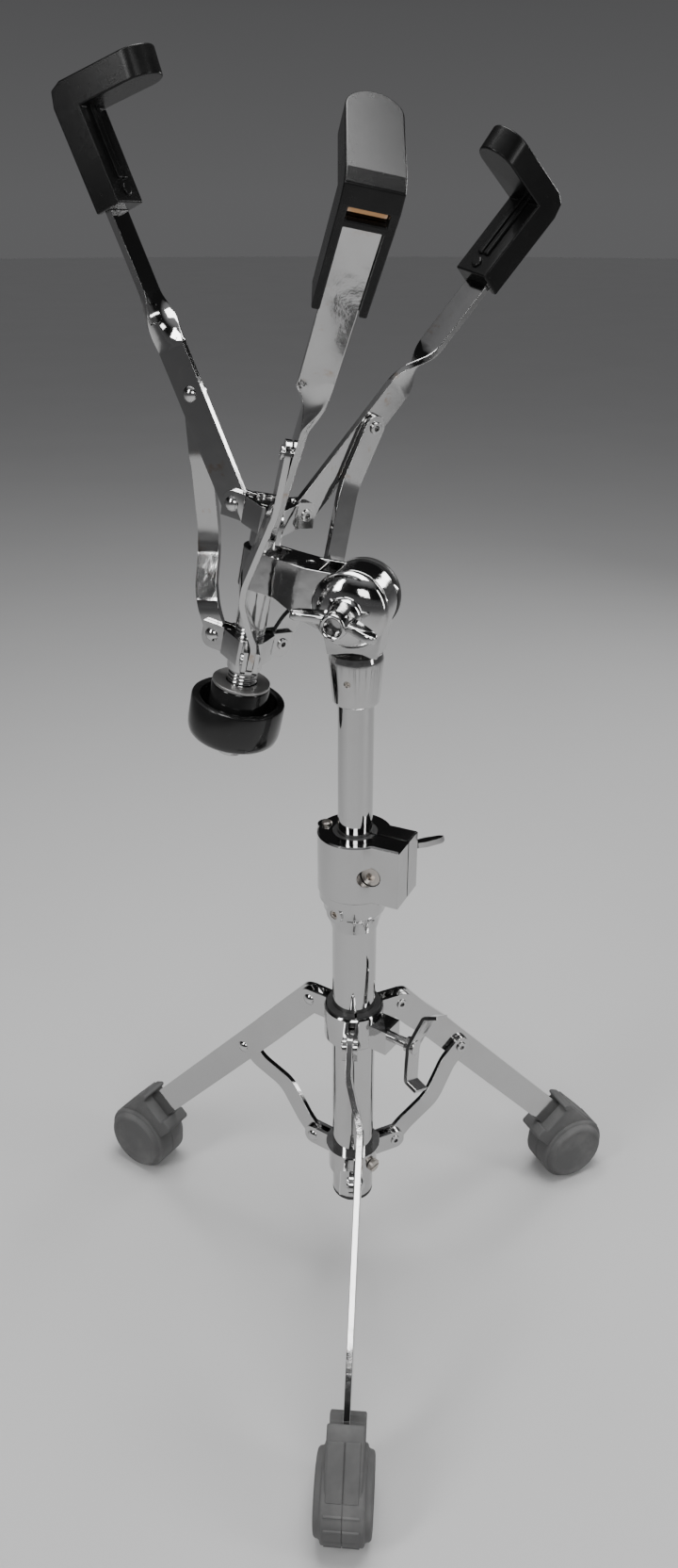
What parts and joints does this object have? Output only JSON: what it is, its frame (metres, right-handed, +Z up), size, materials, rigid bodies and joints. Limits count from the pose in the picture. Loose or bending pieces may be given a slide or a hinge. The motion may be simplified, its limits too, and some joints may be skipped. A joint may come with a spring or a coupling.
{
  "type": "snare drum stand",
  "caption": "Folding snare drum stand: sliding-collar tripod, clamped telescoping column and a tilting basket of rubber-tipped arms that closes with a screw knob.",
  "frame": {"origin": "the column's axis at floor level, in the middle of the three feet", "axes": "+Z up along the column; the front leg points towards -Y; +X to the right seen from the front"},
  "size_m": [0.3578, 0.3177, 0.6953],
  "materials": {
    "chrome_tube": "polished",
    "end_plug_plastic": "satin",
    "pressed_chrome": "polished",
    "cast_chrome": "polished",
    "wing_chrome": "polished",
    "zinc_fastener": "satin",
    "knob_steel": "satin",
    "rivet_chrome": "polished",
    "nylon": "satin",
    "threaded_chrome": "polished",
    "cap_plastic": "satin",
    "knob_plastic": "gloss",
    "leg_chrome": "polished",
    "arm_chrome": "polished",
    "foot_rubber": "matte",
    "grip_rubber": "matte"
  },
  "bodies": {
    "column": {"lower_tube": "chrome_tube", "lower_tube_end_plug": "end_plug_plastic", "brace_hub": "pressed_chrome", "brace_hub_screw": "zinc_fastener", "brace_hub_rivets": "rivet_chrome", "clamp_body": "cast_chrome", "clamp_liner": "nylon", "clamp_hinge_pin": "zinc_fastener", "clamp_set_screw": "zinc_fastener", "clamp_bolt": "zinc_fastener"},
    "clamp_jaw": {"clamp_jaw": "cast_chrome"},
    "clamp_wing": {"clamp_wing_nut": "cast_chrome"},
    "leg_collar": {"leg_hub": "cast_chrome", "leg_hub_liner": "nylon", "leg_hub_nut": "zinc_fastener", "leg_hub_rivets": "rivet_chrome"},
    "leg_wing": {"leg_wing_bolt": "wing_chrome"},
    "brace_front": {"brace_front": "leg_chrome"},
    "leg_front": {"leg_front": "leg_chrome", "foot_front": "foot_rubber", "leg_rivet_front": "rivet_chrome"},
    "brace_right": {"brace_right": "leg_chrome"},
    "leg_right": {"leg_right": "leg_chrome", "foot_right": "foot_rubber", "leg_rivet_right": "rivet_chrome"},
    "brace_left": {"brace_left": "leg_chrome"},
    "leg_left": {"leg_left": "leg_chrome", "foot_left": "foot_rubber", "leg_rivet_left": "rivet_chrome"},
    "tube_plug": {"upper_tube_plug": "end_plug_plastic"},
    "upper_post": {"upper_tube": "chrome_tube", "tilter_base": "cast_chrome", "tilter_set_screw": "zinc_fastener", "tilter_head": "cast_chrome", "tilter_bolt": "threaded_chrome", "tilter_rear_cap": "cap_plastic", "tilter_dome_washer": "cast_chrome"},
    "tilter_wing": {"tilter_wing_nut": "cast_chrome"},
    "basket": {"basket_post": "threaded_chrome", "basket_bracket": "pressed_chrome", "upper_basket_hub": "pressed_chrome", "upper_hub_rivets": "rivet_chrome"},
    "lower_hub": {"lower_basket_hub": "pressed_chrome", "lower_hub_rivets": "rivet_chrome"},
    "knob": {"knob_washer": "knob_steel", "knob_nut": "knob_steel", "basket_knob": "knob_plastic"},
    "arm_front": {"arm_front": "arm_chrome", "grip_front": "grip_rubber", "arm_rivet_front": "rivet_chrome"},
    "link_front": {"link_front": "arm_chrome"},
    "arm_right": {"arm_right": "arm_chrome", "grip_right": "grip_rubber", "arm_rivet_right": "rivet_chrome"},
    "link_right": {"link_right": "arm_chrome"},
    "arm_left": {"arm_left": "arm_chrome", "grip_left": "grip_rubber", "arm_rivet_left": "rivet_chrome"},
    "link_left": {"link_left": "arm_chrome"}
  },
  "joints": [
    {"name": "collar_slide", "type": "slide", "parent": "column", "child": "leg_collar", "axis": [0, 0, 1], "range_m": [0, 0.03839]},
    {"name": "leg_wing_turn", "type": "hinge", "parent": "leg_collar", "child": "leg_wing", "pos_m": [0.02457, -0.01721, 0.198], "axis": [0.8192, -0.5736, 0], "range_deg": [0, 360]},
    {"name": "clamp_jaw_open", "type": "hinge", "parent": "column", "child": "clamp_jaw", "pos_m": [-0.01541, 0.00719, 0.309], "axis": [0, 0, 1], "range_deg": [0, 1.2]},
    {"name": "clamp_wing_turn", "type": "hinge", "parent": "column", "child": "clamp_wing", "pos_m": [0.01999, 0.0069, 0.309], "axis": [0.4226, 0.9063, 0], "range_deg": [0, 360]},
    {"name": "brace_front_turn", "type": "hinge", "parent": "column", "child": "brace_front", "pos_m": [-0.00224, -0.02841, 0.0943], "axis": [0.9969, -0.0785, 0], "range_deg": [-39.43, 0]},
    {"name": "leg_front_turn", "type": "hinge", "parent": "brace_front", "child": "leg_front", "pos_m": [-0.00619, -0.07869, 0.14719], "axis": [0.9969, -0.0785, 0], "range_deg": [0, 77.83]},
    {"name": "brace_right_turn", "type": "hinge", "parent": "column", "child": "brace_right", "pos_m": [0.02572, 0.01227, 0.0943], "axis": [-0.4305, 0.9026, 0], "range_deg": [-39.43, 0]},
    {"name": "leg_right_turn", "type": "hinge", "parent": "brace_right", "child": "leg_right", "pos_m": [0.07125, 0.03398, 0.14719], "axis": [-0.4305, 0.9026, 0], "range_deg": [0, 77.83]},
    {"name": "brace_left_turn", "type": "hinge", "parent": "column", "child": "brace_left", "pos_m": [-0.02349, 0.01614, 0.0943], "axis": [-0.5664, -0.8241, 0], "range_deg": [-39.43, 0]},
    {"name": "leg_left_turn", "type": "hinge", "parent": "brace_left", "child": "leg_left", "pos_m": [-0.06505, 0.04471, 0.14719], "axis": [-0.5664, -0.8241, 0], "range_deg": [0, 77.83]},
    {"name": "height_slide", "type": "slide", "parent": "column", "child": "tube_plug", "axis": [0, 0, 1], "range_m": [-0.07, 0.095]},
    {"name": "swivel", "type": "hinge", "parent": "tube_plug", "child": "upper_post", "pos_m": [0, 0, 0.17], "axis": [0, 0, 1], "continuous": true},
    {"name": "basket_tilt", "type": "hinge", "parent": "upper_post", "child": "basket", "pos_m": [0, 0, 0.457], "axis": [0.304, 0.9527, 0], "range_deg": [-12, 65]},
    {"name": "tilter_wing_turn", "type": "hinge", "parent": "upper_post", "child": "tilter_wing", "pos_m": [-0.0076, -0.02382, 0.457], "axis": [-0.304, -0.9527, 0], "range_deg": [0, 360]},
    {"name": "lower_hub_slide", "type": "slide", "parent": "basket", "child": "lower_hub", "axis": [0.1948, -0.0622, 0.9789], "range_m": [-0.00936, 0.00648]},
    {"name": "knob_turn", "type": "hinge", "parent": "lower_hub", "child": "knob", "pos_m": [-0.0631, 0.02014, 0.39422], "axis": [0.1948, -0.0622, 0.9789], "range_deg": [-1684.8, 1166.4]},
    {"name": "arm_front_turn", "type": "hinge", "parent": "basket", "child": "arm_front", "pos_m": [-0.04033, -0.00563, 0.49593], "axis": [0.9743, 0.1277, -0.1858], "range_deg": [-18.01, 26.01]},
    {"name": "link_front_turn", "type": "hinge", "parent": "arm_front", "child": "link_front", "pos_m": [-0.0281, -0.03986, 0.53653], "axis": [0.9743, 0.1277, -0.1858], "range_deg": [-16.52, 11.44]},
    {"name": "arm_right_turn", "type": "hinge", "parent": "basket", "child": "arm_right", "pos_m": [-0.02726, 0.02532, 0.49529], "axis": [-0.5854, 0.7934, 0.1669], "range_deg": [-18.01, 26.01]},
    {"name": "link_right_turn", "type": "hinge", "parent": "arm_right", "child": "link_right", "pos_m": [0.00639, 0.04183, 0.53486], "axis": [-0.5854, 0.7934, 0.1669], "range_deg": [-16.52, 11.44]},
    {"name": "arm_left_turn", "type": "hinge", "parent": "basket", "child": "arm_left", "pos_m": [-0.06, 0.02103, 0.50154], "axis": [-0.3889, -0.9211, 0.0189], "range_deg": [-18.01, 26.01]},
    {"name": "link_left_turn", "type": "hinge", "parent": "arm_left", "child": "link_left", "pos_m": [-0.08001, 0.0305, 0.55134], "axis": [-0.3889, -0.9211, 0.0189], "range_deg": [-16.52, 11.44]}
  ],
  "couplings": [
    {"joint": "brace_front_turn", "follows": "collar_slide", "rad_per_m": -17.925},
    {"joint": "leg_front_turn", "follows": "collar_slide", "rad_per_m": 35.385},
    {"joint": "brace_right_turn", "follows": "collar_slide", "rad_per_m": -17.925},
    {"joint": "leg_right_turn", "follows": "collar_slide", "rad_per_m": 35.385},
    {"joint": "brace_left_turn", "follows": "collar_slide", "rad_per_m": -17.925},
    {"joint": "leg_left_turn", "follows": "collar_slide", "rad_per_m": 35.385},
    {"joint": "knob_turn", "follows": "lower_hub_slide", "rad_per_m": 3141.6},
    {"joint": "arm_front_turn", "follows": "lower_hub_slide", "rad_per_m": -48.481},
    {"joint": "link_front_turn", "follows": "lower_hub_slide", "rad_per_m": 30.786},
    {"joint": "arm_right_turn", "follows": "lower_hub_slide", "rad_per_m": -48.481},
    {"joint": "link_right_turn", "follows": "lower_hub_slide", "rad_per_m": 30.786},
    {"joint": "arm_left_turn", "follows": "lower_hub_slide", "rad_per_m": -48.481},
    {"joint": "link_left_turn", "follows": "lower_hub_slide", "rad_per_m": 30.786}
  ]
}
